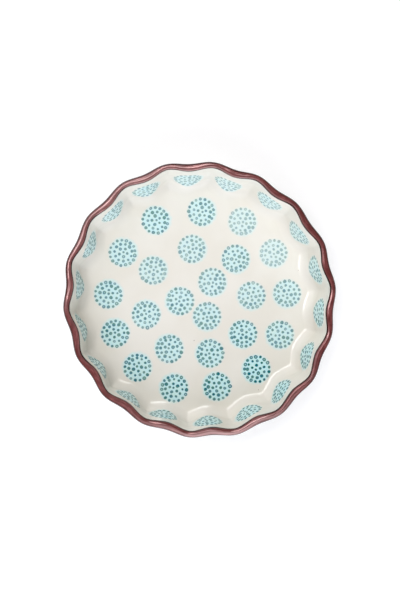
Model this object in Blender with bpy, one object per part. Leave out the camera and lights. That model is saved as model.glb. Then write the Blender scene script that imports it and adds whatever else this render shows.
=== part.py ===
"""A round fluted tart dish of glazed stoneware: one fired clay body and the glaze coats laid on it.

Metres, +Z up. The origin is on the dish's axis, in the plane that the foot ring stands on.
The dish is drawn as half a cross-section, from the middle of the underside, out and up the outer
wall, over the rim, down the inner wall and back to the middle of the floor. A ring is drawn at the
section's first point and extruded from point to point. Each point also says how deep the flutes are
there, so every ring is a wavy circle of its own.
"""

from math import atan2, cos, pi, radians, sin, tan

import bmesh
import bpy
from mathutils import Vector

# Overall sizes, over the glaze
RIM_DIAMETER = 0.260  # outside, halfway between flute crests and valleys
HEIGHT = 0.050

# Clay
WALL_CLAY = 0.0050  # thickness, square to the wall
FLOOR_CLAY = 0.0050  # thickness
WALL_LEAN = radians(12.5)  # both faces of the wall, outwards from upright
RIM_ROUND = 0.0022  # radius of each edge of the rim
HEEL_ROUND = 0.0120  # radius outside, where the wall turns under the floor
FLOOR_FILLET = 0.0128  # radius inside, where the wall meets the floor
FOOT_HEIGHT = 0.0025
FOOT_WIDTH = 0.0050
FOOT_SETBACK = 0.0040  # flat of the underside between the heel and the foot ring
FOOT_CHAMFER = 0.0006

# Flutes: each depth is from crest to valley, each power sets how sharp the crests are
FLUTES = 18
FLUTE_TURN = radians(4.8)  # bearing of the first crest
RIM_FLUTE_OUTSIDE = 0.0028
RIM_FLUTE_INSIDE = 0.0040
HEEL_FLUTE = 0.0040
FLOOR_FLUTE = 0.0062
RIM_OUTSIDE_POWER = 2.0  # a plain wave
RIM_INSIDE_POWER = 1.8
HEEL_POWER = 1.8
FLOOR_POWER = 1.3  # round inward panels that meet in creases

# Drying and firing pull the rim slightly oval
KILN_WARP = 0.0018  # how far the rim moves out on its long axis, and in on its short one
WARP_TURN = radians(124.0)  # bearing of the long axis

# Glaze
GLAZE_THICKNESS = 0.0005
GLAZE_GAP = 0.0003  # clearance between a coat and the clay, and between two coats
BAND_OUTSIDE = 0.0045  # how far the rim's coloured band reaches down the outer wall
BAND_INSIDE = 0.0032  # and down the inner wall
GLAZE_LINE = 0.0016  # bare clay between the foot ring and the outer glaze's edge
RECESS_MARGIN = 0.0010  # bare clay round the glaze inside the foot ring

# Fineness of the mesh
STEPS_PER_FLUTE = 8
HEEL_STEPS = 4
RIM_STEPS = 2
FILLET_STEPS = 4
WALL_STEPS = 2

COAT = GLAZE_GAP + GLAZE_THICKNESS
STEPS = FLUTES * STEPS_PER_FLUTE


def section_point(radius, height, flute=0.0, power=2.0):
    """A point of the cross-section, with the depth and the sharpness of the flutes there."""
    return Vector((radius, height, flute, power))


def round_corner(before, corner, after, radius, steps):
    """The points of an arc that rounds a corner of the section and touches both straight runs."""
    to_before = (before.xy - corner.xy).normalized()
    to_after = (after.xy - corner.xy).normalized()
    half_angle = to_before.angle(to_after) / 2
    middle = corner.xy + (to_before + to_after).normalized() * radius / sin(half_angle)
    spoke = corner.xy + to_before * radius / tan(half_angle) - middle
    turns_left = to_after.x * to_before.y > to_after.y * to_before.x
    sweep = (pi - 2 * half_angle) * (1 if turns_left else -1)
    start = atan2(spoke.y, spoke.x)
    arc = []
    for step in range(steps + 1):
        angle = start + sweep * step / steps
        place = middle + Vector((cos(angle), sin(angle))) * radius
        arc.append(section_point(place.x, place.y, corner.z, corner.w))
    return arc


def divided(start, end, runs):
    """The points between two ends of a straight run, without the ends."""
    return [start.lerp(end, run / runs) for run in range(1, runs)]


def at_height(start, end, height):
    """The point of a straight run at a given height."""
    return start.lerp(end, (height - start.y) / (end.y - start.y))


def outset(points, distance):
    """The section pushed off the clay by a distance, square to each of its runs."""
    moved = []
    for index, point in enumerate(points):
        normals = []
        for first in (index - 1, index):
            if 0 <= first < len(points) - 1:
                run = (points[first + 1].xy - points[first].xy).normalized()
                normals.append(Vector((run.y, -run.x)))
        mitre = sum(normals, Vector((0, 0))).normalized()
        push = mitre * distance / mitre.dot(normals[0])
        moved.append(point + Vector((push.x, push.y, 0, 0)))
    return moved


def clay_section():
    """The clay's cross-section from the underside's middle to the floor's, and where the coats end."""
    rim_round = min(RIM_ROUND, 0.45 * WALL_CLAY)
    rim_top = HEIGHT - COAT
    rim_middle_radius = RIM_DIAMETER / 2 - COAT - rim_round
    rim_middle_height = rim_top - rim_round

    def wall_face(height, depth, flute, power):
        """A point of the wall, at a depth under its outer face."""
        lean_out = sin(WALL_LEAN) * (height - rim_middle_height)
        radius = rim_middle_radius + (rim_round - depth + lean_out) / cos(WALL_LEAN)
        return section_point(radius, height, flute, power)

    floor_height = FOOT_HEIGHT + FLOOR_CLAY
    heel = wall_face(FOOT_HEIGHT, 0, HEEL_FLUTE, HEEL_POWER)
    rim_outside = wall_face(rim_top, 0, RIM_FLUTE_OUTSIDE, RIM_OUTSIDE_POWER)
    rim_inside = wall_face(rim_top, WALL_CLAY, RIM_FLUTE_INSIDE, RIM_INSIDE_POWER)
    floor_corner = wall_face(floor_height, WALL_CLAY, FLOOR_FLUTE, FLOOR_POWER)
    floor_middle = section_point(0, floor_height)
    under_middle = section_point(0, FOOT_HEIGHT)

    heel_arc = round_corner(under_middle, heel, rim_outside, HEEL_ROUND, HEEL_STEPS)
    outer_edge = round_corner(heel, rim_outside, rim_inside, rim_round, RIM_STEPS)
    inner_edge = round_corner(rim_outside, rim_inside, floor_corner, rim_round, RIM_STEPS)
    fillet = round_corner(rim_inside, floor_corner, floor_middle, FLOOR_FILLET, FILLET_STEPS)

    foot_outer = heel_arc[0].x - HEEL_FLUTE / 2 - FOOT_SETBACK
    foot_inner = foot_outer - FOOT_WIDTH
    foot = [
        section_point(foot_inner, FOOT_HEIGHT),
        section_point(foot_inner, FOOT_CHAMFER),
        section_point(foot_inner + FOOT_CHAMFER, 0),
        section_point(foot_outer - FOOT_CHAMFER, 0),
        section_point(foot_outer, FOOT_CHAMFER),
        section_point(foot_outer, FOOT_HEIGHT),
    ]
    glaze_line = section_point(foot_outer + GLAZE_LINE, FOOT_HEIGHT)
    band_outside = at_height(heel_arc[-1], outer_edge[0], HEIGHT - BAND_OUTSIDE)
    band_inside = at_height(inner_edge[-1], fillet[0], HEIGHT - BAND_INSIDE)

    points = [under_middle, *foot]
    edges = {"glaze_line": len(points)}
    points += [glaze_line, *heel_arc, *divided(heel_arc[-1], band_outside, WALL_STEPS)]
    edges["band_outside"] = len(points)
    points += [band_outside, *outer_edge, *inner_edge]
    edges["band_inside"] = len(points)
    points += [band_inside, *divided(band_inside, fillet[0], WALL_STEPS), *fillet]
    edges["floor"] = len(points) - 1
    points.append(floor_middle)
    return points, edges, foot_inner


def drawn_back(end, neighbour):
    """The end of a strip of the section, moved towards its neighbour by half the gap between coats."""
    return end.lerp(neighbour, GLAZE_GAP / 2 / (neighbour.xy - end.xy).length)


def coat_section(clay, first, last, runs_across_floor=False):
    """A coat on the clay between two of its points: up its glazed face and back along the clay."""
    strips = []
    for distance in (COAT, GLAZE_GAP):
        strip = outset(clay, distance)[first : last + 1]
        strip[0] = drawn_back(strip[0], strip[1])
        if not runs_across_floor:
            strip[-1] = drawn_back(strip[-1], strip[-2])
        strips.append(strip)
    face, under = strips
    return [*reversed(face), *under]


def ring_place(point, step):
    """Where one step of the ring through a section point lies, with its flute and the kiln's warp."""
    turn = FLUTE_TURN + 2 * pi * step / STEPS
    valley = abs(sin(pi * step / STEPS_PER_FLUTE)) ** point.w
    warp = KILN_WARP * point.y / HEIGHT * cos(2 * (turn - WARP_TURN))
    radius = point.x + point.z * (0.5 - valley) + warp
    return Vector((radius * cos(turn), radius * sin(turn), point.y))


def turned_piece(name, section, material, closed=False):
    """A solid made by extruding a fluted ring along a section.

    An open section gets a flat face across its first and its last ring. A closed one runs back
    into its first ring.
    """
    shape = bmesh.new()
    step_of = shape.verts.layers.int.new("step")
    ring = [shape.verts.new(ring_place(section[0], step)) for step in range(STEPS)]
    for step, vertex in enumerate(ring):
        vertex[step_of] = step
    first_edges = [shape.edges.new((ring[step - 1], ring[step])) for step in range(STEPS)]
    last_edges = first_edges
    for point in section[1:]:
        grown = bmesh.ops.extrude_edge_only(shape, edges=last_edges)["geom"]
        vertices = {item for item in grown if isinstance(item, bmesh.types.BMVert)}
        edges = [item for item in grown if isinstance(item, bmesh.types.BMEdge)]
        last_edges = [edge for edge in edges if vertices.issuperset(edge.verts)]
        for vertex in vertices:
            vertex.co = ring_place(point, vertex[step_of])
    if closed:
        bmesh.ops.bridge_loops(shape, edges=first_edges + last_edges)
    else:
        bmesh.ops.edgeloop_fill(shape, edges=first_edges)
        bmesh.ops.edgeloop_fill(shape, edges=last_edges)
    bmesh.ops.recalc_face_normals(shape, faces=shape.faces)
    mesh = bpy.data.meshes.new(name)
    shape.to_mesh(mesh)
    shape.free()
    mesh.shade_smooth()
    mesh.set_sharp_from_angle(angle=radians(40))
    mesh.materials.append(material)
    piece = bpy.data.objects.new(name, mesh)
    bpy.context.scene.collection.objects.link(piece)
    return piece


def finish_material(name, color, roughness):
    """A plain fired surface: colour and roughness, never metallic."""
    material = bpy.data.materials.new(name)
    material.use_nodes = True
    shader = material.node_tree.nodes["Principled BSDF"]
    shader.inputs["Base Color"].default_value = (*color, 1)
    shader.inputs["Roughness"].default_value = roughness
    shader.inputs["Metallic"].default_value = 0
    return material


for leftover in list(bpy.data.objects):
    bpy.data.objects.remove(leftover, do_unlink=True)

bare_clay = finish_material("bare_clay", (0.56, 0.46, 0.35), 0.85)
cream_glaze = finish_material("cream_glaze", (0.84, 0.80, 0.72), 0.15)
red_brown_glaze = finish_material("red_brown_glaze", (0.17, 0.05, 0.045), 0.25)

clay, edges, recess_radius = clay_section()

# Fired clay, with its bare foot ring
turned_piece("stoneware_body", clay[1:-1], bare_clay)

# Cream glaze on the outer wall and under the heel, short of the foot ring
outer_coat = coat_section(clay, edges["glaze_line"], edges["band_outside"])
turned_piece("outer_glaze", outer_coat, cream_glaze, closed=True)

# Red-brown band over the rim
rim_coat = coat_section(clay, edges["band_outside"], edges["band_inside"])
turned_piece("rim_glaze", rim_coat, red_brown_glaze, closed=True)

# Cream glaze inside, from the band down the wall and across the floor
inner_coat = coat_section(
    clay, edges["band_inside"], edges["floor"], runs_across_floor=True
)
turned_piece("inner_glaze", inner_coat, cream_glaze)

# Thin glaze in the recess that the foot ring encloses
recess_edge = recess_radius - RECESS_MARGIN
recess_coat = [
    section_point(recess_edge, FOOT_HEIGHT - COAT),
    section_point(recess_edge, FOOT_HEIGHT - GLAZE_GAP),
]
turned_piece("base_glaze", recess_coat, cream_glaze)
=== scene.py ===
# %% [markdown]
# # A fluted tart dish of glazed stoneware
#
# The dish is one slab of clay, pressed over a fluted mould. A round hand stamp prints discs of
# dots on its inside, the whole dish is dipped in cream glaze, and the rim is brushed red-brown.
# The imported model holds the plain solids. This file lays the finished surfaces over them. Every
# surface is a section of the dish carried round its axis, so all of them share one set of sizes.

import bpy
import numpy as np
from mathutils import Matrix, Vector


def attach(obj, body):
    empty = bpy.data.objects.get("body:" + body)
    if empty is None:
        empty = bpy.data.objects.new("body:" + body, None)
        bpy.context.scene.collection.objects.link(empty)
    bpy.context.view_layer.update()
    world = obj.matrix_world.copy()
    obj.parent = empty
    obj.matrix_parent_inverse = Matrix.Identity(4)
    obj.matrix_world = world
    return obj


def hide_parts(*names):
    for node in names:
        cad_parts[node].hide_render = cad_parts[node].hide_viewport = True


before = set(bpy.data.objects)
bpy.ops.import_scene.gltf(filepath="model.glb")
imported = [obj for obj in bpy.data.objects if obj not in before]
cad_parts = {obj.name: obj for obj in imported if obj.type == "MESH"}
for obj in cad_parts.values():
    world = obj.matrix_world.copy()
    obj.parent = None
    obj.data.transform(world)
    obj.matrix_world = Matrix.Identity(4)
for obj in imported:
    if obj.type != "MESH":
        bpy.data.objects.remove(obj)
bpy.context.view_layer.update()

# %% [markdown]
# ## The section
#
# Seen cut through, the dish is a flat floor, a round corner, a straight wall that leans out, and
# a rolled rim. It could be drawn by hand as a curve and spun. Here it is worked out from the
# sizes that a potter would measure, so that the same lines serve the clay and every coat: the
# clay's outline is the glazed one, moved in by the thickness of the glaze.

# %% Sizes over the glaze, in metres
RIM_RADIUS = 0.130  # halfway between flute crests and valleys
HEIGHT = 0.050
WALL = 0.0066  # square to the wall
WALL_LEAN = np.radians(12.5)
FLOOR_TOP = 0.0083
UNDERSIDE = 0.0017
RIM_ROUND = 0.0030
FLOOR_ROUND = 0.0120
HEEL_ROUND = 0.0128
GLAZE = 0.0005
CLAY_SKIN = 0.0008  # the clay lies this far inside the glazed outline
ARC_STEPS = 24


def wall_point(height, depth):
    """A point of the wall's section, at a depth square to the outer face.

    The rim's outer arc has its centre one rounding in from the rim and down from the top. The
    face runs through that arc's far side, and leans out by sine of the lean per unit of height.
    """
    rise = height - (HEIGHT - RIM_ROUND)
    out = RIM_ROUND - depth + np.sin(WALL_LEAN) * rise
    return np.array([RIM_RADIUS - RIM_ROUND + out / np.cos(WALL_LEAN), height])


def bend(before, corner, after, radius, steps=ARC_STEPS):
    """The arc that rounds a corner and touches both of its runs.

    Its centre lies on the corner's bisector, radius / sine of half the corner away. It turns from
    the spoke that is square to the first run to the one that is square to the second.
    """
    to_before = (before - corner) / np.linalg.norm(before - corner)
    to_after = (after - corner) / np.linalg.norm(after - corner)
    half = np.arccos(to_before @ to_after) / 2
    bisector = (to_before + to_after) / np.linalg.norm(to_before + to_after)
    centre = corner + bisector * radius / np.sin(half)
    ends = np.array([to_before, to_after]) * radius / np.tan(half) + corner - centre
    first, last = np.arctan2(ends[:, 1], ends[:, 0])
    sweep = (last - first + np.pi) % (2 * np.pi) - np.pi
    angles = first + sweep * np.linspace(0, 1, steps + 1)
    return centre + radius * np.column_stack((np.cos(angles), np.sin(angles)))


# %% The glazed outline and the clay's
FOOT_OUTSIDE = 0.1038
SECTION_SAMPLES = 4000
# How deep the flutes are, in metres, and how sharp, at each part of the section
FLUTE_DEPTH = {"heel": 0.0040, "rim outside": 0.0028, "rim inside": 0.0040, "floor": 0.0062}
FLUTE_POWER = {"heel": 1.8, "rim outside": 2.0, "rim inside": 1.8, "floor": 1.3}
PLAIN_POWER = FLUTE_POWER["floor"]  # where there are no flutes
RADIUS, RISE, FLUTE, POWER, OUT, UP = range(6)


def outline(skin):
    """The section from the foot ring's outer side, up and over the rim, to the floor's middle.

    Each row is a radius, a height, how deep the flutes are there, how sharp they are, and the
    outward normal, which is the direction of travel turned by a quarter. skin is how far the
    line lies inside the glazed surface.
    """
    top = HEIGHT - skin
    heel = wall_point(UNDERSIDE + skin, skin)
    rim_out = wall_point(top, skin)
    rim_in = wall_point(top, WALL - skin)
    floor_corner = wall_point(FLOOR_TOP - skin, WALL - skin)
    start = np.array([FOOT_OUTSIDE, UNDERSIDE + skin])
    middle = np.array([0.0, FLOOR_TOP - skin])
    heel_arc = bend(start, heel, rim_out, HEEL_ROUND - skin, 20)
    parts = [
        (np.linspace(start, heel_arc[0], 4)[:-1], "heel"),
        (heel_arc, "heel"),
        (bend(heel, rim_out, rim_in, RIM_ROUND - skin), "rim outside"),
        (bend(rim_out, rim_in, floor_corner, RIM_ROUND - skin), "rim inside"),
        (bend(rim_in, floor_corner, middle, FLOOR_ROUND + skin), "floor"),
        (middle[None], "middle"),
    ]
    points = np.concatenate([points for points, _ in parts])
    names = [name for points, name in parts for _ in points]
    depth = [FLUTE_DEPTH.get(name, 0.0) for name in names]
    power = [FLUTE_POWER.get(name, PLAIN_POWER) for name in names]
    length = lengths_along(points)
    fine = np.linspace(0, length[-1], SECTION_SAMPLES)
    rows = [np.interp(fine, length, column) for column in (*points.T, depth, power)]
    travel = np.gradient(np.array(rows[:2]), axis=1)
    travel /= np.linalg.norm(travel, axis=0)
    return fine, np.column_stack((*rows, travel[1], -travel[0]))


def lengths_along(points):
    """How far along a line each of its points lies: the sum of the steps before it."""
    steps = np.linalg.norm(np.diff(points, axis=0), axis=1)
    return np.concatenate([[0.0], np.cumsum(steps)])


def section_at(line, along):
    """Rows of an outline at distances along it, which may be an array of any shape."""
    length, rows = line
    return np.stack([np.interp(along, length, column) for column in rows.T], axis=-1)


glazed = outline(0.0)
rim_crown = glazed[0][np.argmax(glazed[1][:, RISE])]
print("Section length over the glaze: %.1f mm" % (glazed[0][-1] * 1000))

# %% [markdown]
# ## Flutes and kiln warp
#
# A fluted mould gives panels that are round towards the inside and meet in creases. A sine wave
# would make both sides alike. A power of a sine can be sharp at the crests and round in the
# valleys, and the power changes up the wall, from creased at the floor to soft at the rim. The
# warp that a kiln gives is a sum of a few slow waves of the bearing, nothing at the foot and
# whole at the rim.

# %% The wave of the flutes, and the slow waves of hand and kiln
FLUTES = 18
FIRST_CREST = np.radians(4.8)
# (waves in a turn, size in metres, bearing of the largest swing)
RIM_PULL = [(2, 0.0018, 124), (3, 0.0005, 43), (4, 0.00043, 34), (5, 0.00025, 20)]
RIM_LIFT = [(2, 0.00020, 70), (3, 0.00015, 10), (5, 0.00010, 150)]
DEPTH_DRIFT = [(1, 0.05, 200), (3, 0.04, 80), (7, 0.05, 15)]


def slow_waves(bearings, waves):
    """The sum of size x cosine(count x (bearing - its own bearing)) over the waves."""
    return sum(size * np.cos(count * (bearings - np.radians(at))) for count, size, at in waves)


def carried_round(section, bearings, lift=0.0):
    """Places of section points carried round the axis.

    radius = section's radius + lift along its normal
             + flute depth x (1/2 - |sine of 9 turns from the first crest| to the flute power)
             + the rim's pull x height / whole height
    height = section's height + lift along its normal + the rim's lift x (height share cubed)
    """
    share = section[..., RISE] / HEIGHT
    wave = np.abs(np.sin(FLUTES / 2 * (bearings - FIRST_CREST))) ** section[..., POWER]
    depth = section[..., FLUTE] * (1 + slow_waves(bearings, DEPTH_DRIFT))
    radius = section[..., RADIUS] + lift * section[..., OUT] + depth * (0.5 - wave)
    radius = radius + slow_waves(bearings, RIM_PULL) * share * (section[..., RADIUS] > 0)
    height = section[..., RISE] + lift * section[..., UP]
    height = height + slow_waves(bearings, RIM_LIFT) * share**3
    places = (radius * np.cos(bearings), radius * np.sin(bearings), height)
    return np.stack(np.broadcast_arrays(*places), axis=-1)


# %% [markdown]
# ## From a grid of places to a mesh
#
# A ring-shaped grid has one row for each point of the section and one column for each bearing.
# Its columns always close. Its rows either close too, as on the rim's band, or end in a pole at
# each side of the floor's middle, where a fan of triangles keeps the piece closed.

# %% The mesh builder
RING_STEPS = 720


def add_object(name, data):
    """Puts a new object into the scene."""
    made = bpy.data.objects.new(name, data)
    bpy.context.scene.collection.objects.link(made)
    return made


def ring_turns(steps=RING_STEPS):
    """Bearings of a full turn from the first crest, with the first one again at the end."""
    return FIRST_CREST + 2 * np.pi * np.arange(steps + 1) / steps


def ring_mesh(name, places, poles=None):
    """A closed mesh from a grid of places whose last column repeats the first.

    A face joins a place, the next one round, and the same two of the next row, so it looks along
    (direction round) x (direction of the section). Without poles the last row joins the first.
    """
    rows, columns = places.shape[0], places.shape[1] - 1
    numbers = np.arange(rows * columns).reshape(rows, columns)
    numbers = np.concatenate([numbers, numbers[:, :1]], axis=1)
    if poles is None:
        numbers = np.concatenate([numbers, numbers[:1]])
    faces = face_corners(numbers).reshape(-1, 4).tolist()
    vertices = places[:, :-1].reshape(-1, 3)
    if poles is not None:
        first, last = len(vertices), len(vertices) + 1
        vertices = np.concatenate([vertices, poles])
        low, high = numbers[[0, -1]].tolist()
        faces += [(first, b, a) for a, b in zip(low, low[1:])]
        faces += [(a, b, last) for a, b in zip(high, high[1:])]
    mesh = bpy.data.meshes.new(name)
    mesh.from_pydata(vertices.tolist(), [], faces)
    mesh.validate()
    mesh.shade_smooth()
    print("%s: %d faces" % (name, len(mesh.polygons)))
    return add_object(name, mesh)


def face_corners(values):
    """The values at the four corners of each face of a grid, in the order of ring_mesh."""
    around = (values[:-1, :-1], values[:-1, 1:], values[1:, 1:], values[1:, :-1])
    return np.stack(around, axis=2)


def spread(stops, steps):
    """Distances along the section, with that many even steps from each stop to the next."""
    runs = zip(stops, stops[1:], steps)
    parts = [np.linspace(start, end, count, endpoint=False) for start, end, count in runs]
    return np.concatenate([*parts, stops[-1:]])


# %% [markdown]
# ## The clay body
#
# Only the foot ring shows bare clay: it is wiped clean so that the dish doesn't stick to the
# kiln shelf. The body still gets its whole shape, because the coats rest on it and the meshes
# are a result of their own. Its section is the glazed outline moved in, with the foot added.

# %% Clay
FOOT_WIDTH = 0.0050
FOOT_CHAMFER = 0.0006
CLAY_UNDERSIDE = UNDERSIDE + CLAY_SKIN


def plain_rows(points):
    """Section rows without flutes, for turned parts such as the foot."""
    rows = np.zeros((len(points), 6))
    rows[:, RADIUS], rows[:, RISE] = np.transpose(points)
    rows[:, POWER] = PLAIN_POWER
    return rows


foot_inside = FOOT_OUTSIDE - FOOT_WIDTH
foot_points = [
    (0.030, CLAY_UNDERSIDE), (0.070, CLAY_UNDERSIDE), (foot_inside - 0.0008, CLAY_UNDERSIDE),
    (foot_inside - 0.0002, CLAY_UNDERSIDE - 0.0003), (foot_inside, CLAY_UNDERSIDE - 0.0009),
    (foot_inside, FOOT_CHAMFER), (foot_inside + 0.0002, 0.00018),
    (foot_inside + FOOT_CHAMFER, 0.0), (FOOT_OUTSIDE - FOOT_CHAMFER, 0.0),
    (FOOT_OUTSIDE - 0.0002, 0.00018), (FOOT_OUTSIDE, FOOT_CHAMFER),
    (FOOT_OUTSIDE, CLAY_UNDERSIDE - 0.0006),
]
clay_line = outline(CLAY_SKIN)
# From stop to stop: heel, outer wall, rim, inner wall with its corner, and floor
clay_stops = (0.0005, 0.016, 0.052, 0.068, 0.115, clay_line[0][-1] - 0.004)
clay_rows = section_at(clay_line, spread(clay_stops, (12, 12, 16, 26, 14)))
clay_section = np.concatenate([plain_rows(foot_points), clay_rows])
clay_poles = [(0, 0, CLAY_UNDERSIDE), (0, 0, FLOOR_TOP - CLAY_SKIN)]
clay_places = carried_round(clay_section[:, None], ring_turns(360))
clay_body = ring_mesh("clay_body", clay_places, clay_poles)

# %% [markdown]
# ## The cream coat inside
#
# The glaze inside runs from under the rim's band, down the wall and over the floor as one
# surface, and the printed discs lie in it. Its grid is the finest, because the creases between
# the panels and the bright line along the floor's corner are the first things that show.

# %% Cream coat inside
COAT_LAP = 0.0030  # how far a cream coat runs on under the rim's band
BAND_INSIDE = 0.0032  # depth of the band's inner edge below the rim
BAND_OUTSIDE = 0.0045  # the same outside
FAN_RADIUS = 0.0024  # the fan of triangles at the floor's middle

inner_side = glazed[0] > rim_crown
inner_along, inner_rise = glazed[0][inner_side], glazed[1][inner_side, RISE]
outer_rise = glazed[1][~inner_side, RISE]
along_inner = np.interp(-(HEIGHT - BAND_INSIDE), -inner_rise, inner_along)
along_outer = np.interp(HEIGHT - BAND_OUTSIDE, outer_rise, glazed[0][~inner_side])
floor_start = inner_along[inner_rise > FLOOR_TOP + 0.00001][-1]
corner_start = floor_start - FLOOR_ROUND * (np.pi / 2 - WALL_LEAN)

# From stop to stop: wall, corner and floor
coat_stops = (along_inner - COAT_LAP, corner_start, floor_start, glazed[0][-1] - FAN_RADIUS)
face_along = spread(coat_stops, (28, 18, 42))
under_along = spread(coat_stops, (8, 8, 8))
turns = ring_turns()


def coat_places(along, lift=0.0):
    """Places at distances along the glazed section, lifted off it, for all the bearings."""
    return carried_round(section_at(glazed, along.reshape(len(along), -1)), turns, lift)


face = coat_places(face_along)
under = coat_places(under_along, -GLAZE)
coat_poles = [(0, 0, FLOOR_TOP - GLAZE), (0, 0, FLOOR_TOP)]
inner_coat = ring_mesh("inner_cream_glaze", np.concatenate([under[::-1], face]), coat_poles)

# %% [markdown]
# ## Where the stamp was pressed
#
# One round stamp made all the discs: three in the middle, eight round them, thirteen round
# those, and one on each panel of the wall. The dish was turned under the hand, so each disc
# stands nearly the same way to the dish's middle. The discs could be an image, but a map is
# better here: each face takes its place, in millimetres, from the middle of its nearest disc,
# measured on the floor or along the bent wall. The material draws the dots from that map.

# %% Places of the discs
# (bearing in degrees, millimetres from the ring's middle, how much colour the stamp held)
OUTER_DISCS = [
    (4.2, 88.4, 0.55), (31.8, 88.3, 0.33), (60.5, 89.4, 0.34), (87.6, 87.5, 0.62),
    (117.9, 89.1, 0.72), (147.7, 87.7, 0.63), (176.2, 88.5, 0.73), (201.5, 87.9, 0.80),
    (227.4, 88.9, 0.84), (254.3, 89.6, 0.90), (282.0, 86.9, 0.93), (310.0, 89.1, 1.02),
    (337.0, 87.9, 0.66),
]
MIDDLE_DISCS = [
    (5.9, 52.6, 0.54), (48.8, 55.7, 0.60), (97.0, 52.1, 0.50), (145.7, 54.2, 0.51),
    (193.8, 53.5, 0.66), (237.6, 54.9, 0.73), (281.8, 52.4, 0.77), (323.4, 54.5, 0.82),
]
INNER_DISCS = [(49.6, 20.0, 0.56), (189.3, 20.0, 0.64), (291.4, 20.0, 0.64)]
# The hand's own middle for each ring, in millimetres, and how the stamp stood to it, in degrees
RING_MIDDLES = [(0.3, -0.3), (0.7, -1.4), (1.4, 2.1)]
RING_TWISTS = [[-83, -83, -80, -67, -80, -86, -85, -82, -83, -81, -79, -78, -75],
               [-81, -83, -81, -87, -76, -73, -77, -73],
               [-69, 38, -10]]
# (bearing in degrees, height of the middle in millimetres, colour held)
WALL_DISCS = [
    (14.2, 28.6, 0.70), (33.5, 26.1, 0.52), (54.5, 28.4, 0.48), (76.0, 24.4, 0.48),
    (95.3, 25.9, 0.60), (115.9, 26.7, 0.65), (134.5, 27.5, 0.72), (153.5, 26.2, 0.80),
    (173.0, 26.6, 0.85), (193.0, 27.8, 0.90), (213.0, 29.0, 0.95), (234.0, 27.8, 0.95),
    (252.3, 25.8, 0.95), (273.6, 28.6, 0.95), (293.0, 28.1, 0.95), (311.4, 27.0, 0.90),
    (332.4, 28.4, 0.90), (353.6, 30.5, 0.85),
]
WALL_SQUEEZE = 1.15  # the stamp doesn't bend round the corner, so it prints shorter up the wall
wall_bearings, wall_heights, wall_colour = np.transpose(WALL_DISCS)
disc_rings = (OUTER_DISCS, MIDDLE_DISCS, INNER_DISCS)

floor_discs, floor_twists, floor_colour = [], [], []
for discs, middle, twists in zip(disc_rings, RING_MIDDLES, RING_TWISTS):
    for (bearing, reach, colour), twist in zip(discs, twists):
        place = complex(*middle) + reach * np.exp(1j * np.radians(bearing))
        floor_discs.append(place / 1000)
        floor_twists.append(np.radians(bearing + twist))
        floor_colour.append(colour)
floor_discs, floor_twists = np.array(floor_discs), np.array(floor_twists)
print("Discs: %d on the floor, %d on the wall" % (len(floor_discs), len(WALL_DISCS)))

# %% The map of each face to its disc
NO_DISC = 99.0 + 0j  # millimetres, well outside a disc
CORNER_LAP = 0.0045  # the floor's discs are printed this far up the corner, in metres
WALL_TWIST, TWIST_SWAY, SWAY_STEP = -82, 6, 2.4  # degrees, degrees, radians from disc to disc


def floor_map(face):
    """Each floor face's corners from the nearest disc's middle, turned into the stamp's frame.

    Places are complex numbers, x + iy, so that turning is multiplying by e to the -i x angle.
    """
    places = face_corners(face[..., 0] + 1j * face[..., 1])
    nearest = np.abs(places.mean(axis=2)[..., None] - floor_discs).argmin(axis=-1)
    local = places - floor_discs[nearest][..., None]
    return local * np.exp(-1j * floor_twists[nearest])[..., None], nearest


def wall_map(face, along):
    """Each wall face's corners from its disc's middle: up the wall, and round along the flutes.

    The way round is the length of the wavy ring from the disc's bearing, summed step by step.
    """
    steps = np.linalg.norm(np.diff(face, axis=1), axis=2)
    run = np.concatenate([np.zeros((len(face), 1)), np.cumsum(steps, axis=1)], axis=1)
    degrees = np.degrees(turns)
    centres = np.array([np.interp(wall_bearings, degrees, row) for row in run])
    middles = (degrees[:-1] + degrees[1:]) / 2
    nearest = np.abs(middles[:, None] - wall_bearings).argmin(axis=1)
    disc_along = np.interp(-wall_heights / 1000, -inner_rise, inner_along)
    rows = np.broadcast_to(along[:, None], run.shape)
    upward = (disc_along[nearest][None, :, None] - face_corners(rows)) * WALL_SQUEEZE
    low, high = centres[:-1, nearest], centres[1:, nearest]
    round_way = face_corners(run) - np.stack((low, low, high, high), axis=2)
    sway = TWIST_SWAY * np.sin(SWAY_STEP * np.arange(len(WALL_DISCS)))
    twists = np.radians(WALL_TWIST + sway)
    local = (upward + 1j * round_way) * np.exp(-1j * twists[nearest])[None, :, None]
    return local, np.broadcast_to(nearest, local.shape[:2])


on_floor = (face_along[:-1] + face_along[1:]) / 2 > floor_start - CORNER_LAP
on_floor = on_floor[:, None, None]
floor_local, floor_nearest = floor_map(face)
wall_local, wall_nearest = wall_map(face, face_along)
local = np.where(on_floor, floor_local, wall_local) * 1000
disc_number = np.where(on_floor[..., 0], floor_nearest, wall_nearest + len(floor_discs))
disc_colour = np.array([*floor_colour, *wall_colour])[disc_number]


def add_map(piece, name, places):
    """Writes one complex place per face corner as the piece's map of that name."""
    layer = piece.data.uv_layers.new(name=name)
    pairs = np.column_stack((places.real, places.imag))
    layer.data.foreach_set("uv", pairs.astype(np.float32).ravel())


def add_value(piece, name, domain, values):
    """Writes one number per face or per point as an attribute."""
    attribute = piece.data.attributes.new(name, "FLOAT", domain)
    attribute.data.foreach_set("value", values.astype(np.float32).ravel())


def with_hidden(values, filler=0.0, fan_corners=1):
    """Adds a filler for the faces before the glazed side, and for the two fans after it.

    Before it come the underside's rows and the row of the edge between the two sides.
    """
    before = np.full((len(under), *values.shape[1:]), filler)
    fans = np.full(2 * RING_STEPS * fan_corners, filler)
    return np.concatenate([before.ravel(), values.ravel(), fans])


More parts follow.
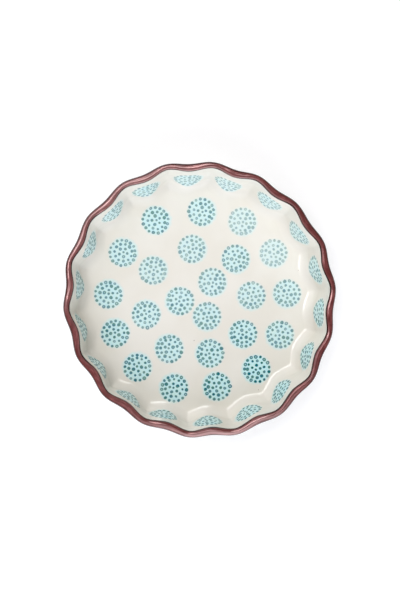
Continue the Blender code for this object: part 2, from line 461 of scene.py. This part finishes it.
stamp_map = with_hidden(local, NO_DISC, fan_corners=3)
add_map(inner_coat, "stamp", stamp_map)
add_value(inner_coat, "stamp_number", "FACE", with_hidden(disc_number))
add_value(inner_coat, "stamp_colour", "FACE", with_hidden(disc_colour))
print("Mapped face corners:", len(stamp_map))

# %% [markdown]
# ## A flat map for baking
#
# When the materials are baked into images, a map that spends its space on the glazed side keeps
# the dots sharp. The inside is laid out as one disc whose radius is the distance along the
# section from the floor's middle. The hidden underside gets a small disc in a corner.

# %% The baking map
MAIN_MIDDLE, MAIN_RADIUS = 0.5 + 0.5j, 0.497  # in a map whose sides run from 0 to 1
SMALL_MIDDLE, SMALL_RADIUS, EDGE_RADIUS = 0.068 + 0.068j, 0.060, 0.064


def disc_rings_at(along, centre, size):
    """Rings on a disc, whose radius is in step with the distance from the floor's middle."""
    reach = (glazed[0][-1] - along) / (glazed[0][-1] - face_along[0])
    return centre + size * reach[:, None] * np.exp(1j * turns)


main = disc_rings_at(face_along, MAIN_MIDDLE, MAIN_RADIUS)
small = disc_rings_at(under_along[::-1], SMALL_MIDDLE, SMALL_RADIUS)
edge = SMALL_MIDDLE + np.array([[SMALL_RADIUS], [EDGE_RADIUS]]) * np.exp(1j * turns)
opening = (np.full(RING_STEPS, SMALL_MIDDLE), small[0, 1:], small[0, :-1])
closing = (main[-1, :-1], main[-1, 1:], np.full(RING_STEPS, MAIN_MIDDLE))
bake_parts = [face_corners(grid) for grid in (small, edge, main)]
bake_parts += [np.column_stack(fan) for fan in (opening, closing)]
add_map(inner_coat, "OFBake", np.concatenate([part.ravel() for part in bake_parts]))
print("Baking map: %d parts" % len(bake_parts))

# %% [markdown]
# ## The red-brown band
#
# The rim's glaze is brushed on by hand over the cream: its edges wander, it stands a little
# proud in the middle, and it thins to nothing at both edges. A plain ring with straight edges
# would look printed. So each column of this grid starts and ends where the brush did, and the
# lift over the cream fades to just under it at the two edges.

# %% Rim band
BAND_PROUD = 0.00012
BAND_SINK = 0.00008
BAND_ROWS = 61
EDGE_POWER = 10  # how close to its edges the band keeps its whole lift
HIDDEN_STRIDE = 3  # the hidden side of a coat has every third row only
BRUSH_RIDGES = 6.0  # across the band
RIDGE_HEIGHT = 0.000035
RIDGE_DRIFT = [(1, 0.30, 40), (3, 0.25, 100), (5, 0.12, 10)]
# (waves in a turn, size in metres along the section, bearing of the widest place)
BRUSH_INSIDE = [(1, 0.0007, 275), (2, 0.0004, 270), (7, 0.00022, 30), (18, 0.00040, 14.8),
                (31, 0.00012, 5), (53, 0.00008, 3)]
BRUSH_OUTSIDE = [(1, 0.0008, 275), (2, 0.0004, 60), (5, 0.0003, 130), (11, 0.00025, 20),
                 (29, 0.00015, 7)]

edge_inside = along_inner + slow_waves(turns, BRUSH_INSIDE)
edge_outside = along_outer - slow_waves(turns, BRUSH_OUTSIDE)
across = np.linspace(0, 1, BAND_ROWS)[:, None]
band_along = edge_outside + across * (edge_inside - edge_outside)
band_lift = (BAND_PROUD + BAND_SINK) * (1 - np.abs(2 * across - 1) ** EDGE_POWER) - BAND_SINK
stroke = 2 * np.pi * (BRUSH_RIDGES * across + slow_waves(turns, RIDGE_DRIFT))
band_lift = band_lift + RIDGE_HEIGHT * np.cos(stroke)
band_face = coat_places(band_along, band_lift)
band_under = coat_places(band_along[::HIDDEN_STRIDE], -GLAZE)
rim_band = ring_mesh("rim_band_glaze", np.concatenate([band_face, band_under[::-1]]))
rows_across = np.concatenate([across[:, 0], np.full(len(band_under), 0.5)])
add_value(rim_band, "across", "POINT", np.repeat(rows_across, RING_STEPS))

# %% Painted highlights on the band
# The pale stretches of the band are painted highlights, where the lamps' reflections fall on the
# roll.
# (middle across the band, half width, bearing in degrees, half length, how pale)
PAINTED_HIGHLIGHTS = [(0.48, 0.08, 279, 32, 0.95), (0.54, 0.09, 133, 36, 0.40),
                  (0.77, 0.08, 95, 58, 0.50), (0.70, 0.10, 205, 40, 0.12)]


def painted_highlight_share(across, bearings):
    """How strong the painted highlight is: the sum of a bell across the band x a bell along it.

    A bell is e to the -(distance / width)^2. Angles along are between -180 and 180 degrees.
    """
    share = np.zeros(np.broadcast(across, bearings).shape)
    for middle, width, at, length, amount in PAINTED_HIGHLIGHTS:
        apart = np.degrees(np.angle(np.exp(1j * (bearings - np.radians(at)))))
        share += amount * np.exp(-((across - middle) / width) ** 2 - (apart / length) ** 2)
    return share


painted_highlight_points = painted_highlight_share(rows_across[:, None], turns[:-1])
add_value(rim_band, "pale", "POINT", painted_highlight_points)
print("Palest point of the band: %.2f" % painted_highlight_points.max())

# %% [markdown]
# ## The coats that the photograph doesn't show
#
# From above, the outer wall leans under the rim and is hidden. A dipped dish is glazed there
# too: cream from the band down and round the heel, wiped back in a clean line beside the foot
# ring, and a thin coat in the recess inside the foot.

# %% Outer and recess coats
GLAZE_LINE = 0.0016  # bare clay beside the foot ring
HEEL_RUN = 0.018  # the tighter bend, which gets the closer rows
EDGE_ROLL = 0.0004  # how fast the coat rises from its rolled lower edge

outer_along = spread((GLAZE_LINE, HEEL_RUN, along_outer + COAT_LAP), (22, 26))
outer_lift = -GLAZE * np.exp(-((outer_along - GLAZE_LINE) / EDGE_ROLL)[:, None])
outer_face = coat_places(outer_along, outer_lift)
outer_under = coat_places(outer_along[::HIDDEN_STRIDE], -2 * GLAZE)
outer_coat = ring_mesh("outer_cream_glaze", np.concatenate([outer_face, outer_under[::-1]]))

recess_edge = foot_inside - 0.0010
recess_top = CLAY_UNDERSIDE + 0.0001
recess_section = plain_rows([
    (0.030, UNDERSIDE), (0.065, UNDERSIDE), (recess_edge - 0.0020, UNDERSIDE),
    (recess_edge - 0.0006, UNDERSIDE + 0.0001), (recess_edge - 0.0001, UNDERSIDE + 0.0004),
    (recess_edge, recess_top), (0.065, recess_top), (0.030, recess_top),
])
recess_poles = [(0, 0, UNDERSIDE), (0, 0, recess_top)]
recess_places = carried_round(recess_section[:, None], ring_turns(180))
recess_coat = ring_mesh("recess_cream_glaze", recess_places, recess_poles)

# %% [markdown]
# ## Writing materials as short sums
#
# A node tree is a sum written in boxes and wires. A few helpers keep it readable: each adds one
# node, wires or sets its inputs in order, and gives back its output.

# %% Node helpers
def node(tree, kind, *inputs, **settings):
    """Adds a shader node. Inputs are wired if they are sockets, and set if they are values."""
    made = tree.nodes.new("ShaderNode" + kind)
    for name, value in settings.items():
        setattr(made, name, value)
    for socket, source in zip(made.inputs, inputs):
        feed(tree, socket, source)
    return made


def feed(tree, socket, source):
    """Wires a socket to an output, or sets its value. None leaves it as it is."""
    if isinstance(source, bpy.types.NodeSocket):
        tree.links.new(source, socket)
    elif source is not None:
        socket.default_value = source


def fill(tree, sockets, **values):
    """Feeds sockets by their names, with _ for a space."""
    for name, value in values.items():
        feed(tree, sockets[name.replace("_", " ")], value)


def calc(tree, operation, *inputs):
    """One step of arithmetic."""
    return node(tree, "Math", *inputs, operation=operation).outputs[0]


def times(tree, first, second):
    """One value times another."""
    return calc(tree, "MULTIPLY", first, second)


def largest(tree, answer, *others):
    """The largest of some values."""
    for other in others:
        answer = calc(tree, "MAXIMUM", answer, other)
    return answer


def rising(tree, value, start, rise):
    """start + rise x value. The numbers for it are kept as pairs."""
    return calc(tree, "MULTIPLY_ADD", value, rise, start)


def move(tree, operation, first, second):
    """One step of arithmetic on places or directions."""
    return node(tree, "VectorMath", first, second, operation=operation).outputs[0]


def length_of(tree, way):
    """How long a way is, or how far a place is from the middle."""
    return node(tree, "VectorMath", way, operation="LENGTH").outputs["Value"]


def stored(tree, name):
    """A number that the mesh carries."""
    return node(tree, "Attribute", attribute_name=name).outputs["Fac"]


def chances(tree, *key):
    """Three random numbers from 0 to 1 that always come with the same key of three numbers."""
    key = node(tree, "CombineXYZ", *key).outputs[0]
    colour = node(tree, "TexWhiteNoise", key, noise_dimensions="3D").outputs["Color"]
    return node(tree, "SeparateColor", colour).outputs


def is_ray(tree, *kinds):
    """1 for rays of these kinds, such as Camera, and 0 for the others."""
    rays = node(tree, "LightPath").outputs
    return largest(tree, *(rays["Is %s Ray" % kind] for kind in kinds))


def ramp(tree, value, low, high, start=0.0, end=1.0):
    """A soft step: start below low, end above high, with an S-curve between them."""
    made = node(tree, "MapRange", value, low, high, start, end, interpolation_type="SMOOTHSTEP")
    return made.outputs[0]


def blend(tree, share, first, second):
    """The second colour laid over the first by a share."""
    made = node(tree, "Mix", data_type="RGBA")
    feed(tree, made.inputs["Factor"], share)
    feed(tree, made.inputs[6], first)
    feed(tree, made.inputs[7], second)
    return made.outputs[2]


def noise(tree, place, size, detail=2.0):
    """Cloudy noise whose blots are about that size, in metres."""
    made = node(tree, "TexNoise", noise_dimensions="3D")
    fill(tree, made.inputs, Vector=place, Scale=1 / size, Detail=detail)
    return made.outputs["Fac"]


def group_tree(name, inputs, outputs):
    """A shader node group. Gives its tree, what it is given, and the sockets for its result."""
    tree = bpy.data.node_groups.new(name, "ShaderNodeTree")
    for side, sockets in (("INPUT", inputs), ("OUTPUT", outputs)):
        for label, kind in sockets.items():
            tree.interface.new_socket(label, in_out=side, socket_type="NodeSocket" + kind)
    given, result = tree.nodes.new("NodeGroupInput"), tree.nodes.new("NodeGroupOutput")
    return tree, given.outputs, result.inputs


def use_group(tree, group, **values):
    """Places a group in a tree and fills its inputs."""
    made = tree.nodes.new("ShaderNodeGroup")
    made.node_tree = group
    fill(tree, made.inputs, **values)
    return made.outputs


# %% [markdown]
# ## The skin of a glaze
#
# A glaze is never one flat colour: it pools a shade deeper in slow clouds, carries fine iron
# specks, and sets with faint ripples that bend reflections. All the glazes share these, so they
# are one node group, with the colours, the sizes and the number of specks as its inputs.

# %% Glaze group
GRAIN_SIZE, RIPPLE_SIZE, SMEAR_SIZE = 0.0009, 0.012, 0.02  # metres
GRAIN_HEIGHT = 0.04  # beside ripples of 1
SPECK_SPACING = 0.004  # metres
SPECK_REACH, SPECK_EDGE = (0.04, 0.05), 0.03  # shares of the spacing
SPECK_STRENGTH = 0.8
ROUGHNESS = (0.03, 0.05)


def make_glaze_group():
    """Clouds between two colours, sparse specks over them, and a rippled height.

    A speck is where the distance to a scattered point is under the speck's size, at the few
    points whose own random number is low enough.
    """
    tree, given, result = group_tree(
        "glaze_skin",
        {"Thin": "Color", "Deep": "Color", "Speck": "Color", "Cloud Size": "Float",
         "Speck Share": "Float", "Grain": "Float"},
        {"Color": "Color", "Roughness": "Float", "Height": "Float"},
    )
    place = node(tree, "TexCoord").outputs["Object"]
    size = calc(tree, "DIVIDE", 1.0, given["Cloud Size"])
    clouds = node(tree, "TexNoise", noise_dimensions="3D")
    fill(tree, clouds.inputs, Vector=place, Scale=size, Detail=3.0)
    grain = noise(tree, place, GRAIN_SIZE)
    share = ramp(tree, clouds.outputs["Fac"], 0.3, 0.7)
    grain_part = times(tree, calc(tree, "SUBTRACT", grain, 0.5), given["Grain"])
    share = node(tree, "Clamp", calc(tree, "ADD", share, grain_part)).outputs[0]
    colour = blend(tree, share, given["Thin"], given["Deep"])
    points = node(tree, "TexVoronoi", feature="F1")
    fill(tree, points.inputs, Vector=place, Scale=1 / SPECK_SPACING)
    chance = node(tree, "SeparateColor", points.outputs["Color"]).outputs
    chosen = calc(tree, "LESS_THAN", chance[0], given["Speck Share"])
    reach = rising(tree, chance[1], *SPECK_REACH)
    outside = calc(tree, "SUBTRACT", points.outputs["Distance"], reach)
    near = ramp(tree, outside, 0.0, SPECK_EDGE, 1.0, 0.0)
    speck = times(tree, times(tree, chosen, near), SPECK_STRENGTH)
    colour = blend(tree, speck, colour, given["Speck"])
    ripples = noise(tree, place, RIPPLE_SIZE, 1.0)
    height = calc(tree, "MULTIPLY_ADD", grain, GRAIN_HEIGHT, ripples)
    roughness = rising(tree, noise(tree, place, SMEAR_SIZE), *ROUGHNESS)
    fill(tree, result, Color=colour, Roughness=roughness, Height=height)
    return tree


glaze_skin = make_glaze_group()

# %% [markdown]
# ## The dot stamp
#
# The stamp has a dot in the middle and rings of 5, 11 and 17 dots round it. In round
# coordinates a ring of dots repeats: the bearing times the number of dots, rounded, is the
# number of the nearest dot, and from that number come the dot's middle and its own random size.
# So a ring of any number of dots is one small group, placed four times.

# %% Dot ring group
TURN = 2 * np.pi
RING_SWAY = 0.7  # millimetres between the dots that stand furthest in and out
CUT_SIZE = (0.81, 0.38)  # how the dots cut in the stamp differ
PRINT_SIZE, INK = (0.92, 0.16), (0.90, 0.16)  # how one print of a dot differs from the next
DOT_EDGE = 0.28  # half the soft edge, in millimetres
CORE_SHARE, CORE_EDGE, CORE_BARE = 0.45, 0.35, 0.55  # the bare middle of a hollow dot
HOLLOW_EDGE = 0.12


def make_dot_ring_group():
    """How much of a dot covers a place, from the nearest dot of one ring.

    number = round(bearing x count / turn - first), dot's bearing = (number + first) x turn / count
    distance = length of (place - dot's middle); the dot is 1 within its radius and 0 outside
    it. Random numbers of the dot set its radius, its place and how hollow its print is.
    """
    tree, given, result = group_tree(
        "dot_ring",
        {"Place": "Vector", "Count": "Float", "Ring Radius": "Float", "First": "Float",
         "Dot Radius": "Float", "Print": "Float", "Hollow": "Float"},
        {"Dots": "Float"},
    )
    flat = node(tree, "SeparateXYZ", given["Place"]).outputs
    bearing = calc(tree, "ARCTAN2", flat[1], flat[0])
    steps = calc(tree, "DIVIDE", times(tree, bearing, given["Count"]), TURN)
    number = calc(tree, "ROUND", calc(tree, "SUBTRACT", steps, given["First"]))
    dot_bearing = times(tree, calc(tree, "ADD", number, given["First"]), TURN)
    dot_bearing = calc(tree, "DIVIDE", dot_bearing, given["Count"])
    number = calc(tree, "FLOORED_MODULO", number, given["Count"])
    own = chances(tree, number, given["Count"], 3.0)
    printed = chances(tree, number, given["Count"], given["Print"])
    sway = calc(tree, "SUBTRACT", own[0], 0.5)
    reach = calc(tree, "MULTIPLY_ADD", sway, RING_SWAY, given["Ring Radius"])
    middle = [times(tree, reach, calc(tree, part, dot_bearing)) for part in ("COSINE", "SINE")]
    middle = node(tree, "CombineXYZ", *middle).outputs[0]
    distance = length_of(tree, move(tree, "SUBTRACT", given["Place"], middle))
    size = times(tree, rising(tree, own[1], *CUT_SIZE), rising(tree, printed[0], *PRINT_SIZE))
    radius = times(tree, size, given["Dot Radius"])
    dot = ramp(tree, calc(tree, "SUBTRACT", distance, radius), -DOT_EDGE, DOT_EDGE, 1.0, 0.0)
    core = calc(tree, "MULTIPLY_ADD", radius, -CORE_SHARE, distance)
    bare = ramp(tree, core, -CORE_EDGE, CORE_EDGE, 1.0, 0.0)
    chance = calc(tree, "MULTIPLY_ADD", own[2], 0.6, times(tree, printed[1], 0.4))
    chance = calc(tree, "SUBTRACT", chance, given["Hollow"])
    hollow = ramp(tree, chance, -HOLLOW_EDGE, HOLLOW_EDGE, 1.0, 0.0)
    bare = times(tree, times(tree, bare, hollow), CORE_BARE)
    dot = calc(tree, "SUBTRACT", dot, times(tree, dot, bare))
    fill(tree, result, Dots=times(tree, dot, rising(tree, printed[2], *INK)))
    return tree


dot_ring = make_dot_ring_group()

# %% Stamp group
# (dots, ring's radius in millimetres, first dot's bearing in degrees, dot's radius, share hollow)
STAMP_RINGS = [(1, 0.4, 0.0, 1.25, 0.15), (5, 4.2, -4.0, 1.42, 0.2), (11, 8.4, 13.0, 1.45, 0.2),
               (17, 12.4, 10.5, 1.48, 0.4)]
OUTER_RING_SHIFT = (-0.5, 0.5, 0.0)  # the outer ring was cut a little off the middle
DRIFT_SCALE = 0.35  # of the slow noise that bends, fades and tints a print
DRIFT_KEY = 17.3  # sets one print's noise apart from the next one's
PRINT_BEND = (1.1, 1.1, 0.0)
HALO_FULL, HALO_END, HALO_SWAY = 11.8, 16.4, 4.0  # millimetres
FAINTEST = 0.85


def make_stamp_group():
    """The dots of all rings, and the pale disc where the wet colour spread between them.

    A slow noise of each print bends the place, moves the pale disc's edge in and out, makes some
    dots fainter, and is the tint that is given out.
    """
    tree, given, result = group_tree(
        "dot_stamp",
        {"Place": "Vector", "Print": "Float"},
        {"Dots": "Float", "Halo": "Float", "Tint": "Float"},
    )
    key = times(tree, given["Print"], DRIFT_KEY)
    drift = node(tree, "TexNoise", noise_dimensions="4D")
    fill(tree, drift.inputs, Vector=given["Place"], W=key, Scale=DRIFT_SCALE)
    tint = drift.outputs["Fac"]
    bent = move(tree, "SUBTRACT", drift.outputs["Color"], (0.5, 0.5, 0.5))
    place = move(tree, "ADD", given["Place"], move(tree, "MULTIPLY", bent, PRINT_BEND))
    rings = []
    for count, ring, first, radius, hollow in STAMP_RINGS:
        spot = place
        if count == STAMP_RINGS[-1][0]:
            spot = move(tree, "SUBTRACT", place, OUTER_RING_SHIFT)
        made = use_group(tree, dot_ring, Place=spot, Count=float(count), Ring_Radius=ring,
                         First=first * count / 360, Dot_Radius=radius, Hollow=hollow,
                         Print=given["Print"])
        rings.append(made["Dots"])
    sway = rising(tree, tint, -HALO_SWAY / 2, HALO_SWAY)
    reach = calc(tree, "ADD", length_of(tree, place), sway)
    halo = ramp(tree, reach, HALO_FULL, HALO_END, 1.0, 0.0)
    dots = times(tree, largest(tree, *rings), ramp(tree, tint, 0.25, 0.75, FAINTEST, 1.0))
    fill(tree, result, Dots=dots, Halo=halo, Tint=tint)
    return tree


dot_stamp = make_stamp_group()

# %% [markdown]
# ## The finishes
#
# Each glaze is a smooth glassy layer over colour, so each material is one Principled shader with
# a low roughness. What changes over the surface comes from the groups: colour, roughness and the
# height that the bump reads.

# %% Cream glaze, plain and stamped
CREAM_THIN = (0.880, 0.849, 0.768, 1)
CREAM_DEEP = (0.842, 0.804, 0.712, 1)
SPECK_BROWN = (0.16, 0.09, 0.05, 1)
HALO_GREEN = (0.49, 0.91, 0.94, 1)
HALO_BLUE = (0.42, 0.90, 1.00, 1)
DOT_GREEN = (0.003, 0.166, 0.134, 1)
DOT_BLUE = (0.003, 0.150, 0.200, 1)
HALO_SHARE, DOT_SHARE = (0.22, 0.40), (0.30, 0.75)  # they rise with the colour that the stamp held
CREAM_BUMP = 0.00035  # metres


def start_material(name):
    """A material with an empty Principled shader. Gives the material, its tree and the shader."""
    material = bpy.data.materials.new(name)
    material.use_nodes = True
    shader = material.node_tree.nodes["Principled BSDF"]
    return material, material.node_tree, shader


def add_bump(tree, shader, height, distance):
    """Bends the shader's normal by a height, scaled to a distance in metres."""
    bump = node(tree, "Bump")
    fill(tree, bump.inputs, Strength=1.0, Distance=distance, Height=height)
    fill(tree, shader.inputs, Normal=bump.outputs["Normal"])


def cream_material(name, stamped):
    """Cream glaze. If stamped, the halo and the dots are laid into its colour."""
    material, tree, shader = start_material(name)
    skin = use_group(tree, glaze_skin, Thin=CREAM_THIN, Deep=CREAM_DEEP, Speck=SPECK_BROWN,
                     Cloud_Size=0.045, Speck_Share=0.012, Grain=0.12)
    colour = skin["Color"]
    if stamped:
        place = node(tree, "UVMap", uv_map="stamp").outputs[0]
        stamp = use_group(tree, dot_stamp, Place=place, Print=stored(tree, "stamp_number"))
        held = stored(tree, "stamp_colour")
        bluer = ramp(tree, stamp["Tint"], 0.42, 0.58)
        halo = times(tree, stamp["Halo"], rising(tree, held, *HALO_SHARE))
        colour = blend(tree, halo, colour, blend(tree, bluer, HALO_GREEN, HALO_BLUE))
        dots = times(tree, stamp["Dots"], rising(tree, held, *DOT_SHARE))
        dots = node(tree, "Clamp", dots).outputs[0]
        colour = blend(tree, dots, colour, blend(tree, bluer, DOT_GREEN, DOT_BLUE))
    fill(tree, shader.inputs, Base_Color=colour, Roughness=skin["Roughness"])
    add_bump(tree, shader, skin["Height"], CREAM_BUMP)
    return material


cream_glaze = cream_material("cream_glaze", stamped=False)
stamped_glaze = cream_material("stamped_cream_glaze", stamped=True)
print("Cream glazes:", cream_glaze.name, stamped_glaze.name)

# %% [markdown]
# The rim's red-brown is an iron glaze. It is redder where it is thin over the roll. Both edges of
# the band carry painted shade, nearly black, and pale pink stretches are painted highlights where
# the lamps' reflections fall on the roll. Iron near the surface gives it a faint metal lustre,
# most of all at the inner edge.

# %% Red-brown glaze
BROWN_THIN = (0.330, 0.098, 0.094, 1)
BROWN_DEEP = (0.150, 0.034, 0.032, 1)
BROWN_PAINTED_SHADE = (0.040, 0.009, 0.009, 1)
BROWN_PAINTED_HIGHLIGHT = (0.720, 0.450, 0.430, 1)
BROWN_SPECK = (0.030, 0.008, 0.008, 1)
STREAKS_ALONG, STREAKS_ACROSS = 30.0, 7.0  # in a metre, and in the band's width
LUSTRE = (0.22, 0.70)  # it rises towards the inner edge
BROWN_ROUGHER = 0.08
BROWN_BUMP = 0.0002


def brown_material(name):
    """The rim's glaze: clouds and grain, then streaks, painted shade and painted highlights laid
    over them.

    The streaks are noise that changes slowly from place to place and fast across the band. The
    painted shade at both edges is soft steps of the way across, and at the inner edge it gives way
    to the painted highlights.
    """
    material, tree, shader = start_material(name)
    skin = use_group(tree, glaze_skin, Thin=BROWN_THIN, Deep=BROWN_DEEP, Speck=BROWN_SPECK,
                     Cloud_Size=0.008, Speck_Share=0.15, Grain=0.9)
    across, pale = stored(tree, "across"), stored(tree, "pale")
    place = node(tree, "SeparateXYZ", node(tree, "TexCoord").outputs["Object"]).outputs
    slow = [times(tree, axis, STREAKS_ALONG) for axis in place[:2]]
    fast = times(tree, across, STREAKS_ACROSS)
    streak_place = node(tree, "CombineXYZ", *slow, fast).outputs[0]
    streaks = node(tree, "TexNoise", streak_place, noise_dimensions="3D").outputs["Fac"]
    colour = blend(tree, ramp(tree, streaks, 0.44, 0.58), skin["Color"], BROWN_DEEP)
    # Painted shade: both edges of the band are darkened nearly to black, the inner one except
    # under the painted highlights.
    outside = ramp(tree, across, 0.32, 0.46, 0.75, 0.0)
    inside = ramp(tree, across, 0.75, 0.83)
    inside = times(tree, inside, calc(tree, "SUBTRACT", 1.0, pale))
    colour = blend(tree, largest(tree, outside, inside), colour, BROWN_PAINTED_SHADE)
    # Painted highlights: pale pink where the lamps' reflections fall on the roll.
    colour = blend(tree, pale, colour, BROWN_PAINTED_HIGHLIGHT)
    roughness = calc(tree, "ADD", skin["Roughness"], BROWN_ROUGHER)
    fill(tree, shader.inputs, Base_Color=colour, Roughness=roughness, Specular_IOR_Level=0.8,
         Metallic=rising(tree, inside, *LUSTRE))
    add_bump(tree, shader, skin["Height"], BROWN_BUMP)
    return material


brown_glaze = brown_material("red_brown_glaze")
print("Rim glaze:", brown_glaze.name)

# %% [markdown]
# Bare clay shows only on the foot ring: matte, sandy and a warm grey-brown. A fine noise for the
# sand and a slow one for the tone are enough.

# %% Bare clay
CLAY_LIGHT = (0.56, 0.46, 0.35, 1)
CLAY_DARK = (0.42, 0.32, 0.22, 1)
SAND_SIZE, TONE_SIZE = 0.0008, 0.015  # metres
SAND_BUMP = 0.0002


def clay_material(name):
    """Bare fired clay: matte, with grog of mixed tone and a sandy height."""
    material, tree, shader = start_material(name)
    place = node(tree, "TexCoord").outputs["Object"]
    sand = noise(tree, place, SAND_SIZE, 4.0)
    clouds = noise(tree, place, TONE_SIZE, 3.0)
    share = calc(tree, "MULTIPLY_ADD", sand, 0.6, times(tree, clouds, 0.5))
    colour = blend(tree, ramp(tree, share, 0.35, 0.75), CLAY_LIGHT, CLAY_DARK)
    roughness = ramp(tree, sand, 0.2, 0.8, 0.8, 0.95)
    fill(tree, shader.inputs, Base_Color=colour, Roughness=roughness)
    add_bump(tree, shader, sand, SAND_BUMP)
    return material


bare_clay = clay_material("bare_clay")
print("Clay:", bare_clay.name)

# %% [markdown]
# ## Dressing the model
#
# Each finished surface stands for one solid of the imported model and moves with its body. The
# dish has no joints, so everything rides on the root.

# %% Ride, replace and give each piece its finish
DRESSING = [
    (clay_body, "stoneware_body", "bare_clay", bare_clay),
    (inner_coat, "inner_glaze", "stamped_cream_glaze", stamped_glaze),
    (rim_band, "rim_glaze", "red_brown_glaze", brown_glaze),
    (outer_coat, "outer_glaze", "cream_glaze", cream_glaze),
    (recess_coat, "base_glaze", "cream_glaze", cream_glaze),
]
for piece, solid, finish, material in DRESSING:
    piece.data.materials.append(material)
    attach(piece, "root")
    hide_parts(solid)
print("Dressed:", ", ".join(piece.name for piece, *_ in DRESSING))

# %% [markdown]
# ## The floor
#
# Truly white paper would throw so much light back that the outer wall went white too. So the
# floor is a middle grey to the light. To the camera and in reflections it adds a glow that makes
# it white and leaves the dish's shadow. The glow grows with the distance from the dish.

# %% Floor
FLOOR_SIZE = 6.0
PAPER_GREY, WHITE = (0.52, 0.52, 0.52, 1), (1, 1, 1, 1)
GLOW_NEAR, GLOW_FAR = 0.58, 1.0
GLOW_FROM, GLOW_TO = 0.5, 1.6  # metres from the dish

floor_mesh = bpy.data.meshes.new("studio_floor")
half = FLOOR_SIZE / 2
floor_mesh.from_pydata([(-half, -half, 0), (half, -half, 0), (half, half, 0), (-half, half, 0)],
                       [], [(0, 1, 2, 3)])
studio_floor = add_object("studio_floor", floor_mesh)
paper, paper_tree, _ = start_material("white_paper")
paper_tree.nodes.clear()
paper_face = node(paper_tree, "BsdfDiffuse", PAPER_GREY).outputs[0]
away = length_of(paper_tree, node(paper_tree, "TexCoord").outputs["Object"])
lift = ramp(paper_tree, away, GLOW_FROM, GLOW_TO, GLOW_NEAR, GLOW_FAR)
shows = is_ray(paper_tree, "Camera", "Transmission", "Glossy")
glow = node(paper_tree, "Emission", WHITE, times(paper_tree, shows, lift)).outputs[0]
both = node(paper_tree, "AddShader", paper_face, glow).outputs[0]
node(paper_tree, "OutputMaterial", both)
floor_mesh.materials.append(paper)
print("Floor: %g m square" % FLOOR_SIZE)

# %% [markdown]
# ## The lamps
#
# Four soft lamps stand round the dish. The large key lamp is hidden from reflections, because
# its mirror image would whiten the cream's whole corner, and a low softbox beside it gives the
# rim its shine. A side softbox lights the near wall, and a narrow strip high up draws the thin
# bright line along the floor's corner.

# %% Lamps
# (name, bearing and height above the horizon in degrees, distance, width and depth in metres,
# watts, colour, mirrored)
LAMPS = [
    ("key_softbox", 271, 33, 1.6, 1.4, 1.4, 17.9, (0.95, 0.99, 1.11), False),
    ("low_softbox", 285, 15, 1.6, 1.4, 0.75, 8.3, (0.97, 0.99, 1.07), True),
    ("side_softbox", 132, 42, 1.6, 2.2, 1.6, 13.8, (0.98, 0.985, 1.04), True),
    ("high_strip", 122, 72, 1.6, 1.1, 0.43, 11.2, (1.0, 0.985, 0.99), True),
]


def direction(bearing, rise):
    """The way from the dish to a bearing and a height above the horizon, in degrees."""
    bearing, rise = np.radians(bearing), np.radians(rise)
    return Vector((np.cos(rise) * np.cos(bearing), np.cos(rise) * np.sin(bearing), np.sin(rise)))


def add_lamp(name, bearing, rise, distance, width, depth, watts, colour, mirrored):
    """A soft rectangular lamp that looks at the dish from a bearing and a height."""
    light = bpy.data.lights.new(name, "AREA")
    light.shape, light.size, light.size_y, light.energy = "RECTANGLE", width, depth, watts
    light.color = colour
    lamp = add_object(name, light)
    way = direction(bearing, rise)
    lamp.location = way * distance
    lamp.rotation_euler = way.to_track_quat("Z", "Y").to_euler()
    lamp.visible_camera = False
    lamp.visible_glossy = mirrored


for lamp in LAMPS:
    add_lamp(*lamp)
print("Lamps:", ", ".join(lamp[0] for lamp in LAMPS))

# %% [markdown]
# ## The room
#
# The room round the lamps is dim and warm, which warms the shadows. The camera sees it white,
# like the paper, and mirrored in the glaze it has a soft pale horizon.

# %% Surroundings
STUDIO_DIM = 0.048
HORIZON_LIGHT = 0.25
HORIZON_FROM, HORIZON_TO = 0.08, 0.30  # share of the way up, where the pale horizon fades
ROOM_TINT = (1.0, 0.92, 0.74, 1)

world = bpy.data.worlds.new("studio")
bpy.context.scene.world = world
world.use_nodes = True
world_tree = world.node_tree
surround = world_tree.nodes["Background"]
outward = node(world_tree, "TexCoord").outputs["Generated"]
way_up = node(world_tree, "SeparateXYZ", outward).outputs[2]
horizon = ramp(world_tree, way_up, HORIZON_FROM, HORIZON_TO, HORIZON_LIGHT, STUDIO_DIM)
mirrored = times(world_tree, is_ray(world_tree, "Glossy"), horizon)
looked_at = is_ray(world_tree, "Camera", "Transmission")
strength = largest(world_tree, mirrored, looked_at, STUDIO_DIM)
tint = blend(world_tree, looked_at, ROOM_TINT, WHITE)
fill(world_tree, surround.inputs, Strength=strength, Color=tint)
print("Room light: %g, pale horizon: %g" % (STUDIO_DIM, HORIZON_LIGHT))

# %% [markdown]
# ## The camera
#
# The photograph looks almost straight down, from about a metre, and leans under five degrees
# towards the left edge of the picture. The lens gives the rim the width that it has there.

# %% Camera
AIM = Vector((-0.0014, -0.0010, 0.050))
CAMERA_DISTANCE = 1.0
LEAN, LEAN_BEARING = 4.7, 197  # degrees from straight above, and towards which side
FOCAL_PIXELS = 1054.5
FRAME_PIXELS = 600  # the longer side

camera_data = bpy.data.cameras.new("camera")
camera_data.sensor_width = 36.0
camera_data.lens = FOCAL_PIXELS / FRAME_PIXELS * camera_data.sensor_width
camera = add_object("camera", camera_data)
toward = direction(LEAN_BEARING, 90 - LEAN)
across_frame = Vector((0, 1, 0)).cross(toward).normalized()  # +Y stays up in the picture
up_frame = toward.cross(across_frame)
turned = Matrix((across_frame, up_frame, toward)).transposed()
camera.matrix_world = Matrix.Translation(AIM + toward * CAMERA_DISTANCE) @ turned.to_4x4()
bpy.context.scene.camera = camera
bpy.context.scene.view_settings.view_transform = "Standard"
print("Camera: %g m away, lens %.1f mm" % (CAMERA_DISTANCE, camera_data.lens))
